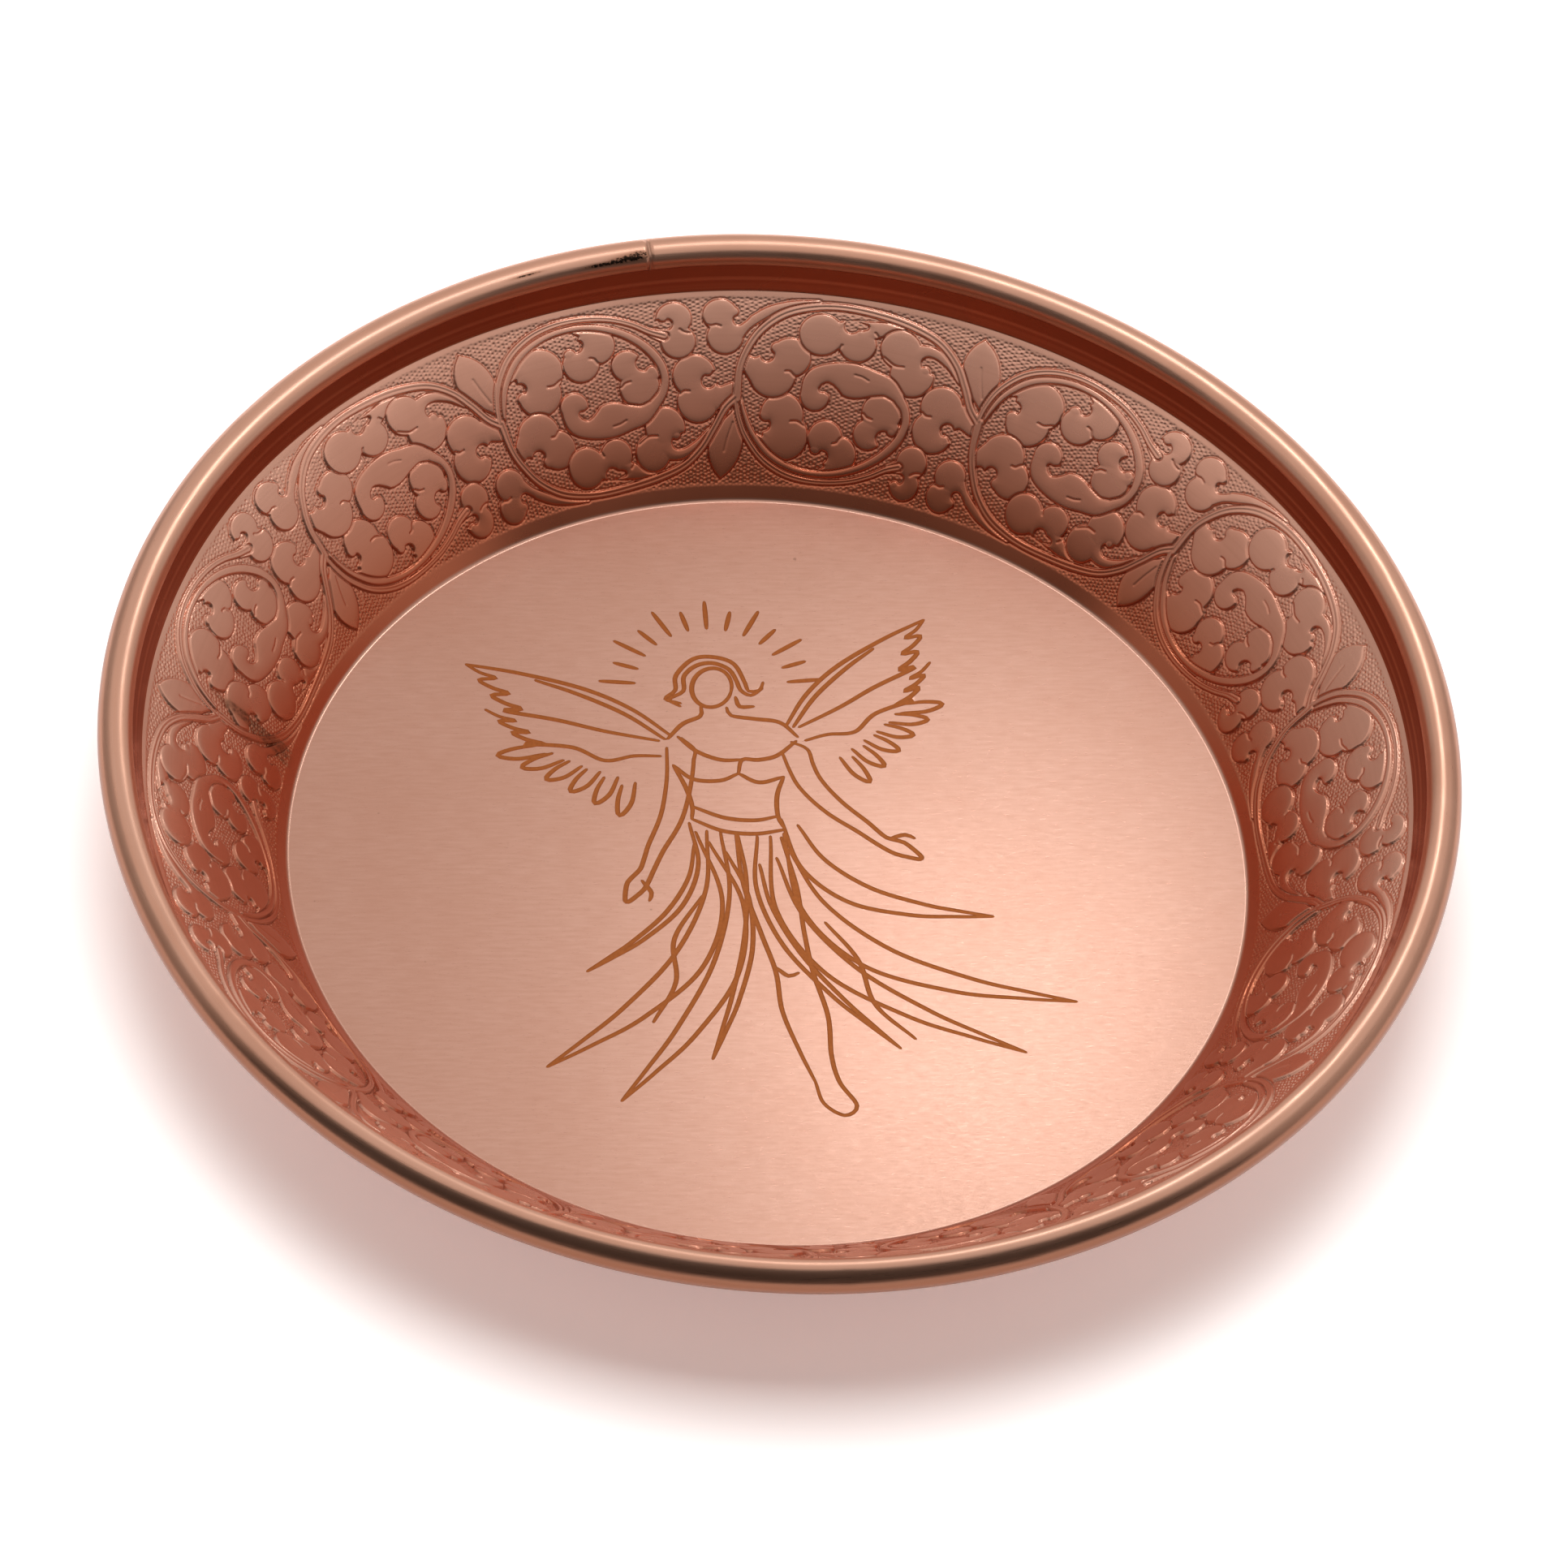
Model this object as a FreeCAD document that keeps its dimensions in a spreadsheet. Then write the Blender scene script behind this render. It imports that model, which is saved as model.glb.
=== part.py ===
import FreeCAD, Part
import math
import os
import Sketcher

# A round copper tray with a wired rim. One pressed sheet makes the floor, the sloping wall, the
# steep collar and a lip, which is rolled outwards over a steel wire. A copper strip caps the lip,
# and its two ends meet at one soldered seam.
#
# The model stands on its base. +Z is the tray's axis and points up, and the origin is the centre
# of the base's underside. Azimuths are degrees from +X towards +Y. Sizes are millimetres.

SIZES = {
    # the pressed sheet
    "sheet_gauge": 0.8,         # thickness of the copper sheet
    "flat_radius": 88.46,       # radius at which the flat floor starts to bend up
    "corner_bend": 0.8,         # inner bend radius between the floor and the wall
    "wall_angle": 45.6,         # degrees, slope of the wall over the floor
    "crease_bend": 0.5,         # inner bend radius between the wall and the collar
    "collar_angle": 67.0,       # degrees, slope of the collar
    "lip_edge_tilt": 105.0,     # degrees, direction of the lip's cut edge towards the wire
    # the wire inside the lip
    "ring_radius": 121.75,      # radius of the wire's centre line: the rim is 3.25 wider all round
    "ring_height": 34.0,        # height of that centre line over the floor's upper face
    "wire_radius": 1.65,
    "wire_fit": 0.05,           # gap between the wire and the lip
    "wire_joint_azimuth": 290.0,
    "wire_joint_angle": 0.2,    # degrees, width of the wire's butt joint
    # the strip over the lip
    "strip_gauge": 0.7,         # thickness of the capping strip
    "strip_fit": 0.05,          # gap between the strip and the lip
    "strip_skirt": 1.75,        # straight stretch of the strip that lies along the collar
    "strip_edge_tilt": 70.0,    # degrees, direction of the strip's lower edge towards the wire
    # the seam between the strip's ends
    "seam_azimuth": 106.9,
    "seam_angle": 0.14,         # degrees, width of the seam
    "solder_recess": 0.04,      # how far the solder lies below the strip's outer face
}

LIP_INNER = ("wire_radius", "wire_fit")
LIP_OUTER = LIP_INNER + ("sheet_gauge",)
STRIP_INNER = LIP_OUTER + ("strip_fit",)
STRIP_OUTER = STRIP_INNER + ("strip_gauge",)
RING_HEIGHT = ("sheet_gauge", "ring_height")

START = 1       # a sketch element's first point, last point and centre
END = 2
CENTRE = 3
ORIGIN = (-1, 1)
UPRIGHT = FreeCAD.Vector(0, 0, 1)


def make_sheet(doc):
    sheet = doc.addObject("Spreadsheet::Sheet", "dims")
    for row, (name, number) in enumerate(SIZES.items(), start=1):
        cell = "A%d" % row
        sheet.set(cell, str(number))
        sheet.setAlias(cell, name)
    doc.recompute()


def total(names):
    """The present value of several cells added up."""
    return sum(SIZES[name] for name in names)


def bound(names):
    """The expression that adds the same cells up."""
    return " + ".join("dims." + name for name in names)


def along(start, angle, distance):
    """The point at a distance from another one, in a direction given in degrees."""
    direction = FreeCAD.Vector(math.cos(math.radians(angle)), math.sin(math.radians(angle)), 0)
    return start + direction * distance


class Section:
    """A sketch of a sub-part's cross-section: x is the distance from the tray's axis, y the height."""

    def __init__(self, body):
        plane = [item for item in body.Origin.OriginFeatures if item.Role == "XZ_Plane"][0]
        self.sketch = body.newObject("Sketcher::SketchObject", body.Name + "_section")
        self.sketch.AttachmentSupport = [(plane, "")]
        self.sketch.MapMode = "FlatFace"

    def line(self, start, end):
        return self.sketch.addGeometry(Part.LineSegment(start, end))

    def circle(self, centre, radius):
        return self.sketch.addGeometry(Part.Circle(centre, UPRIGHT, radius))

    def arc(self, centre, radius, first, last):
        circle = Part.Circle(centre, UPRIGHT, radius)
        arc = Part.ArcOfCircle(circle, math.radians(first), math.radians(last))
        return self.sketch.addGeometry(arc)

    def tie(self, kind, *where):
        self.sketch.addConstraint(Sketcher.Constraint(kind, *where))

    def measure(self, kind, *where, cells):
        """Adds a dimension and binds it to the cells it is the sum of."""
        number = total(cells)
        if kind == "Angle":
            number = math.radians(number)
        index = self.sketch.addConstraint(Sketcher.Constraint(kind, *where, number))
        self.sketch.setExpression("Constraints[%d]" % index, bound(cells))

    def place_centre(self, element):
        """Puts the centre of an arc or circle on the rim wire's centre line."""
        self.measure("DistanceX", *ORIGIN, element, CENTRE, cells=("ring_radius",))
        self.measure("DistanceY", *ORIGIN, element, CENTRE, cells=RING_HEIGHT)


def make_body(doc, name):
    body = doc.addObject("PartDesign::Body", name)
    body.Label = name
    return body


def revolve(body, section, angle, azimuth=None):
    """Turns a section about the tray's axis, through an angle that starts at an azimuth."""
    feature = body.newObject("PartDesign::Revolution", body.Name + "_turn")
    feature.Profile = section.sketch
    feature.ReferenceAxis = (section.sketch, ["V_Axis"])
    feature.setExpression("Angle", angle)
    if azimuth is not None:
        first_turn = 1.0        # sets the axis; the expression then sets the angle
        body.Placement = FreeCAD.Placement(FreeCAD.Vector(), FreeCAD.Rotation(UPRIGHT, first_turn))
        body.setExpression(".Placement.Rotation.Angle", azimuth)


def ring_centre():
    return FreeCAD.Vector(SIZES["ring_radius"], total(RING_HEIGHT), 0)


def crease_point(corner_centre, lip_centre):
    """Where the inner faces of the wall and the collar would meet in a sharp edge."""
    wall = SIZES["wall_angle"]
    collar = SIZES["collar_angle"]
    foot = along(corner_centre, wall - 90, SIZES["corner_bend"])
    touch = along(lip_centre, collar + 90, total(LIP_OUTER))
    step = touch - foot
    slope = math.tan(math.radians(collar))
    closing = math.cos(math.radians(wall)) * slope - math.sin(math.radians(wall))
    run = (step.x * slope - step.y) / closing
    return along(foot, wall, run)


def make_tray_body(doc):
    """The pressed sheet: its inner face from the axis out to the lip, then its outer face back."""
    body = make_body(doc, "tray_body")
    section = Section(body)
    gauge = SIZES["sheet_gauge"]
    bend = SIZES["corner_bend"]
    wall = SIZES["wall_angle"]
    collar = SIZES["collar_angle"]
    lip_end = SIZES["lip_edge_tilt"] - 180

    corner_centre = FreeCAD.Vector(SIZES["flat_radius"], gauge + bend, 0)
    lip_centre = ring_centre()
    crease = crease_point(corner_centre, lip_centre)
    crease_bend = SIZES["crease_bend"]
    crease_run = crease_bend * math.tan(math.radians((collar - wall) / 2))
    crease_centre = along(along(crease, wall, -crease_run), wall + 90, crease_bend)

    def face(offset):
        """One face of the sheet, offset from the inner one, as the elements floor to lip."""
        floor_height = FreeCAD.Vector(0, gauge - offset, 0)
        bottom = along(corner_centre, -90, bend + offset)
        wall_foot = along(corner_centre, wall - 90, bend + offset)
        wall_top = along(crease_centre, wall - 90, crease_bend + offset)
        collar_foot = along(crease_centre, collar - 90, crease_bend + offset)
        lip_radius = total(LIP_OUTER) - offset
        collar_top = along(lip_centre, collar + 90, lip_radius)
        return {
            "floor": section.line(floor_height, bottom),
            "corner": section.arc(corner_centre, bend + offset, -90, wall - 90),
            "wall": section.line(wall_foot, wall_top),
            "crease": section.arc(crease_centre, crease_bend + offset, wall - 90, collar - 90),
            "collar": section.line(collar_foot, collar_top),
            "lip": section.arc(lip_centre, lip_radius, lip_end, collar + 90),
        }

    inner = face(0)
    outer = face(gauge)
    for side in (inner, outer):
        section.tie("Horizontal", side["floor"])
        section.tie("Tangent", side["floor"], END, side["corner"], START)
        section.tie("Tangent", side["corner"], END, side["wall"], START)
        section.tie("Tangent", side["wall"], END, side["crease"], START)
        section.tie("Tangent", side["crease"], END, side["collar"], START)
        section.tie("Tangent", side["collar"], END, side["lip"], END)
    for bend_name in ("corner", "crease", "lip"):
        section.tie("Coincident", inner[bend_name], CENTRE, outer[bend_name], CENTRE)

    axis = section.line(FreeCAD.Vector(0, 0, 0), FreeCAD.Vector(0, gauge, 0))
    section.tie("Coincident", axis, START, outer["floor"], START)
    section.tie("Coincident", axis, END, inner["floor"], START)
    section.tie("Coincident", axis, START, *ORIGIN)
    section.tie("Vertical", axis)
    edge_start = along(lip_centre, lip_end, total(LIP_OUTER))
    edge_end = along(lip_centre, lip_end, total(LIP_INNER))
    edge = section.line(edge_start, edge_end)
    section.tie("Coincident", edge, START, inner["lip"], START)
    section.tie("Coincident", edge, END, outer["lip"], START)
    section.tie("PointOnObject", inner["lip"], CENTRE, edge)

    section.measure("DistanceY", axis, START, axis, END, cells=("sheet_gauge",))
    section.measure("DistanceX", *ORIGIN, inner["corner"], CENTRE, cells=("flat_radius",))
    section.measure("Radius", inner["corner"], cells=("corner_bend",))
    section.measure("Angle", inner["wall"], cells=("wall_angle",))
    section.measure("Radius", inner["crease"], cells=("crease_bend",))
    section.measure("Angle", inner["collar"], cells=("collar_angle",))
    section.measure("Radius", outer["crease"], cells=("crease_bend", "sheet_gauge"))
    section.measure("Radius", outer["lip"], cells=LIP_INNER)
    section.measure("Radius", inner["lip"], cells=LIP_OUTER)
    section.measure("Angle", edge, cells=("lip_edge_tilt",))
    section.place_centre(inner["lip"])
    revolve(body, section, "360")
    return body


def make_rim_wire(doc):
    """The steel wire inside the lip, with its ends butted together under the rim."""
    body = make_body(doc, "rim_wire")
    section = Section(body)
    wire = section.circle(ring_centre(), SIZES["wire_radius"])
    section.measure("Radius", wire, cells=("wire_radius",))
    section.place_centre(wire)
    revolve(body, section, "360 - dims.wire_joint_angle", "dims.wire_joint_azimuth")
    return body


def draw_strip(body, outer_cells, recess_cells):
    """The C-shaped section round the lip: its edge is dressed down along the collar on the inside."""
    section = Section(body)
    collar = SIZES["collar_angle"]
    skirt = SIZES["strip_skirt"]
    under = SIZES["strip_edge_tilt"] - 180
    centre = ring_centre()
    inner_radius = total(STRIP_INNER)
    outer_radius = total(outer_cells) - total(recess_cells)
    touch = along(centre, collar + 90, inner_radius)
    skirt_end = along(touch, collar, -skirt)
    turn = math.degrees(math.asin(skirt / outer_radius))
    toe = along(centre, collar + 90 + turn, outer_radius)

    outer = section.arc(centre, outer_radius, under, collar + 90 + turn)
    inner = section.arc(centre, inner_radius, under, collar + 90)
    skirt_face = section.line(skirt_end, touch)
    toe_face = section.line(toe, skirt_end)
    edge = section.line(along(centre, under, outer_radius), along(centre, under, inner_radius))

    section.tie("Coincident", inner, CENTRE, outer, CENTRE)
    section.tie("Tangent", skirt_face, END, inner, END)
    section.tie("Coincident", toe_face, END, skirt_face, START)
    section.tie("Coincident", toe_face, START, outer, END)
    section.tie("Perpendicular", toe_face, skirt_face)
    section.tie("Coincident", edge, START, outer, START)
    section.tie("Coincident", edge, END, inner, START)
    section.tie("PointOnObject", outer, CENTRE, edge)
    section.measure("Radius", inner, cells=STRIP_INNER)
    section.measure("Angle", skirt_face, cells=("collar_angle",))
    section.measure("Distance", skirt_face, cells=("strip_skirt",))
    section.measure("Angle", edge, cells=("strip_edge_tilt",))
    section.place_centre(outer)
    index = section.sketch.addConstraint(Sketcher.Constraint("Radius", outer, outer_radius))
    expression = " - ".join([bound(outer_cells)] + ["dims." + name for name in recess_cells])
    section.sketch.setExpression("Constraints[%d]" % index, expression)
    return section


def make_rim_strip(doc):
    """The capping strip, all the way round except for the seam."""
    body = make_body(doc, "rim_strip")
    section = draw_strip(body, STRIP_OUTER, ())
    revolve(body, section, "360 - dims.seam_angle", "dims.seam_azimuth + dims.seam_angle")
    return body


def make_rim_seam_solder(doc):
    """The solder between the strip's ends, a little below the strip's outer face."""
    body = make_body(doc, "rim_seam_solder")
    section = draw_strip(body, STRIP_OUTER, ("solder_recess",))
    revolve(body, section, "dims.seam_angle", "dims.seam_azimuth")
    return body


def check(doc, parts):
    """Stops with a message if any object failed or any sub-part has no valid solid."""
    for item in doc.Objects:
        if "Invalid" in item.State or "Error" in item.State:
            raise RuntimeError(item.Label + " failed: " + ", ".join(item.State))
    for part in parts:
        if part.Shape.isNull() or not part.Shape.isValid():
            raise RuntimeError(part.Label + " has no valid shape")
        if len(part.Shape.Solids) != 1:
            raise RuntimeError(part.Label + " is not one solid")


def main():
    doc = FreeCAD.newDocument("copper_tray")
    make_sheet(doc)
    parts = [make_tray_body(doc), make_rim_wire(doc), make_rim_strip(doc), make_rim_seam_solder(doc)]
    doc.recompute()
    check(doc, parts)
    os.makedirs("parts", exist_ok=True)
    for part in parts:
        part.Shape.exportStep("parts/" + part.Label + ".step")
        print(part.Label, round(part.Shape.Volume, 2), "mm3")


main()
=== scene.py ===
# A pressed copper tray with an embossed scroll border, an engraved winged figure and a rolled rim.
#
# The CAD model gives the section, the rim and the seam. This script replaces the plain pressed body
# with one mesh that carries the border's relief and the engraving, replaces the capping strip with a
# finer and slightly worn one, and gives every piece its finish. Lengths are in millimetres until a
# mesh is made, and azimuths are degrees from +X towards +Y.

import math

import bpy
import numpy as np
from mathutils import Matrix, Vector
from mathutils.geometry import delaunay_2d_cdt


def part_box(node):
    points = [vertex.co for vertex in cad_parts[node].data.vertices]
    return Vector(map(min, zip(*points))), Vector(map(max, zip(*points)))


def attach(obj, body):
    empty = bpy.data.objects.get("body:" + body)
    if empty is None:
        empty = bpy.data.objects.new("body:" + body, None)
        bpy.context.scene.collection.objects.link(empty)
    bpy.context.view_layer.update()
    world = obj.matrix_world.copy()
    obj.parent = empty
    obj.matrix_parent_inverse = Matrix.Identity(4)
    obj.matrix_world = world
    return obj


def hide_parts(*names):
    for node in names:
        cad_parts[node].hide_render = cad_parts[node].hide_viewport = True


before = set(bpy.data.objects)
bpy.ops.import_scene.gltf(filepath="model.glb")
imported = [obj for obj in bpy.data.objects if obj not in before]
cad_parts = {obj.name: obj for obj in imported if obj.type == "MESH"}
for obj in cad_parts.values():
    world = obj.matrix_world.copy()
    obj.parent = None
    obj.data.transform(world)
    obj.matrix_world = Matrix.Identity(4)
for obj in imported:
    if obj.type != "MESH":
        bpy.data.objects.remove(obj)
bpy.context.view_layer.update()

MM = 0.001
SEED = 11

# -------- the section

# The rim's place and size, from the frame.
WIRE_LOW, WIRE_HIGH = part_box("rim_wire")
_, STRIP_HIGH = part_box("rim_strip")
SEAM_LOW, SEAM_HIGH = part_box("rim_seam_solder")

WIRE_RADIUS = (WIRE_HIGH.z - WIRE_LOW.z) / 2 / MM
RING_HEIGHT = (WIRE_HIGH.z + WIRE_LOW.z) / 2 / MM
RING_RADIUS = WIRE_HIGH.x / MM - WIRE_RADIUS
BEAD_RADIUS = STRIP_HIGH.z / MM - RING_HEIGHT
SEAM_AZIMUTH = math.degrees(math.atan2(SEAM_LOW.y + SEAM_HIGH.y, SEAM_LOW.x + SEAM_HIGH.x))

# Sizes of the CAD model that the frame doesn't give.
GAUGE = 0.8  # thickness of the pressed sheet
FIT = 0.05  # gap between the lip and the wire, and between the strip and the lip
FLAT_RADIUS = 88.46  # where the flat floor starts to bend up
CORNER_BEND = 0.8
CREASE_BEND = 0.5
WALL_ANGLE = 45.6
COLLAR_ANGLE = 67.0
LIP_END = -75.0  # direction of the lip's cut edge, seen from the wire's centre
STRIP_END = -110.0  # direction of the strip's lower edge
STRIP_SKIRT = 1.75  # straight stretch of the strip along the collar
LIP_INNER = WIRE_RADIUS + FIT
LIP_OUTER = LIP_INNER + GAUGE
STRIP_INNER = LIP_OUTER + FIT

# -------- the border's pattern

PERIODS = 7  # repeats of the scroll round the wall
BUD_AZIMUTH = 126.4  # azimuth of one of the buds that point up
PERIOD_WIDTH = 92.6  # width of one repeat on the wall at its middle height
HALF = PERIOD_WIDTH / 2
MIRROR = 42.0  # a point and its glide image have heights that add up to this
LEAF_SPREAD = 0.34  # how far the leaves reach past the outlines listed below
LEAF_HEIGHT = 0.30  # height of the steep edge of a leaf
LEAF_DOME = 0.10  # how much higher its middle is
STEM_HEIGHT = 0.24
STEM_DOME = 0.10
BEVEL = 0.18  # width of the steep edge
SHOULDER = 0.60  # how far in the rounded shoulder reaches
OUTLINE_BLUR = 0.16  # width over which one shape gives way to the next
GROOVE_DEPTH = 0.20
GROOVE_WIDTH = 0.16
STIPPLE_PITCH = 0.76
STIPPLE_DEPTH = 0.20
STIPPLE_REACH = 50  # height that the grid of dimples covers, more than the wall's
DIMPLE_SHARE = 0.29  # a dimple's radius as a share of the pitch
JITTER = 0.2  # how far a dimple is off its place, as a share of the pitch
GROUND_DROP = 0.04  # the ground lies this far under the plain wall
BULGE = 0.75  # how far the middle of the wall stands in from a straight one
BULGE_POWER = 2.3
RELIEF_LOW = 1.2  # the pattern fades out below and above these heights up the wall
RELIEF_HIGH = 40.1
BAND_LOW = 3.0  # the ground is stippled between these heights
BAND_HIGH = 38.9
COLLAR_MARK = 1.5  # the climb mark from the crease upwards; on the wall it is 0 to 1

STREAK_AZIMUTH = 173.2  # a dark streak runs up the wall here
STREAK_TOP = 28.0
# The strokes of that streak: place beside its azimuth, lean, width and strength.
STREAKS = [(0, .05, .8, .5), (-1.8, .12, .4, .45), (2.2, -.03, .5, .45), (.6, .05, 3.4, .2)]

# -------- the rim's wear

SEAM_GAP = 0.14  # opening of the strip at its seam, in degrees
DENTS = 26
DENT_DEPTH = (0.02, 0.07)
DENT_WIDTH = (0.5, 2.4)  # degrees round the rim
DENT_TILT = (20, 160)  # direction of a dent's middle from the wire's centre
DENT_HEIGHT = 22  # degrees round the bead
RIM_WAVE = 0.012  # half the depth of the strip's slow waves
RIM_SET_IN = 0.01  # the strip's skin starts this far inside the CAD model's
# Dark marks beside the seam: azimuth, direction from the wire's centre, length, height.
RIM_MARKS = [(108.0, 126, 0.9, 16), (109.4, 133, 1.3, 12), (111.6, 139, 1.6, 6), (118.5, 118, 1.4, 4)]

# -------- how finely the meshes are cut

FINE = 4200  # columns round the wall, a multiple of 14
MEDIUM = FINE // 2  # columns of the smooth parts
COARSE = FINE // 7  # columns at the floor
SPARSE = MEDIUM // 7  # columns of the underside
FINE_ROWS = 250  # rows up the wall's inside
BACK_ROWS = 96  # rows down its outside
BASE_RINGS = (66, 44, 22, 8)  # radii of the rings across the flat underside
RIM_COLUMNS = 920  # columns round the strip
WALL_SLOT, FLOOR_SLOT, LINE_SLOT, BASE_SLOT = range(4)  # the body's materials, in their order


def direction(angle):
    return np.array([math.cos(math.radians(angle)), math.sin(math.radians(angle))])


def smooth_curve(points, step=0.5):
    """Points along a Catmull-Rom curve through the given ones, about a step apart."""
    knots = np.array(points, float)
    padded = np.vstack([2 * knots[0] - knots[1], knots, 2 * knots[-1] - knots[-2]])
    pieces = []
    for i in range(1, len(padded) - 2):
        before, start, end, after = padded[i - 1:i + 3]
        count = max(2, int(np.linalg.norm((end - start)[:2]) / step))
        t = np.linspace(0, 1, count, endpoint=False)[:, None]
        pieces.append(0.5 * (2 * start + (end - before) * t
                             + (2 * before - 5 * start + 4 * end - after) * t ** 2
                             + (3 * start - before - 3 * end + after) * t ** 3))
    pieces.append(knots[-1:])
    return np.vstack(pieces)


def segment_distances(x, y, path):
    """For each piece of a path of (x, y, radius) rows: the distance to it, and its radius there."""
    for (x0, y0, r0), (x1, y1, r1) in zip(path[:-1], path[1:]):
        dx, dy = x1 - x0, y1 - y0
        t = np.clip(((x - x0) * dx + (y - y0) * dy) / (dx * dx + dy * dy + 1e-12), 0, 1)
        yield np.hypot(x - x0 - t * dx, y - y0 - t * dy), r0 + (r1 - r0) * t


def stroke_distance(x, y, path):
    """Distance to a path of (x, y, radius) rows, less its radius, and distance to its middle line."""
    edge = np.full(x.shape, 1e9)
    middle = np.full(x.shape, 1e9)
    for away, radius in segment_distances(x, y, path):
        edge = np.minimum(edge, away - radius)
        middle = np.minimum(middle, away)
    return edge, middle


def curve_distance(x, y, points):
    """Both distances for a smooth curve through points, which may leave out the half width."""
    return stroke_distance(x, y, smooth_curve([(*point, 0.0)[:3] for point in points]))


def circle_distance(x, y, circle):
    return np.hypot(x - circle[0], y - circle[1]) - circle[2]


# Shapes of half a repeat, as (along, up) in millimetres from a bud's axis and the wall's foot, with
# the half width as a third number. The other half is the same shapes turned over and moved on by
# half a repeat. The wave is the main stem, the arch rises from it over the volute, and the scroll
# winds inwards under the arch and swells into the leaf at the volute's eye.
WAVE = [(3.2, 22.6, .9), (3.7, 17, .8), (5.2, 13, .8), (7.6, 9.4, .85), (11.4, 6.4, .9),
        (16, 4.8, .85), (21, 4.2, .8), (27, 4.5, .85), (33, 5.4, .9), (38.5, 7.2, .85),
        (42.4, 10.3, .8), (45, 14, .8), (47.2, 17.6, .85), (49.3, 19.6, .9)]
ARCH = [(2.9, 22.4, .6), (3.5, 26, .65), (5, 29.8, .7), (8.2, 33.8, .75), (12.4, 36.3, .75),
        (17, 37.4, .7), (22, 37.4, .65), (27, 36.5, .65), (31, 34.9, .65), (34, 33.1, .7),
        (36.6, 32, .8)]
SCROLL = [(3.9, 22.6, .4), (4.7, 25.6, .6), (6.3, 29.2, .7), (9.6, 33, .8), (13.6, 35.1, .75),
          (18, 36, .7), (23, 35.7, .7), (28, 34, .8), (32, 31.3, .9), (34.9, 27.8, .95),
          (36, 24.4, .9), (35.4, 21.4, .95), (33.4, 19, 1.2)]
EYE = [(33.4, 19, 1.2), (31, 17.6, 1.9), (28, 17.5, 2.6), (24.6, 17.6, 3.4), (21, 16.9, 2.3),
       (18.2, 18.4, 2.5), (18, 21.4, 2.9)]
EYE_POCKET = [(23.2, 21.6, .5), (21.8, 20.5, .8), (20.2, 19.5, .9), (19.2, 19.9, .45)]
EYE_CREASE = [(25, 16.4), (26.4, 16.6), (27.6, 17.1)]
BUD = [(2.8, 24.8, .4), (2.4, 27, 1.7), (1.3, 30, 3.3), (0.6, 32.4, 3.4), (0.2, 34.6, 2.4),
       (-0.1, 36.4, 1.1), (-0.2, 37.8, .1)]

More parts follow.
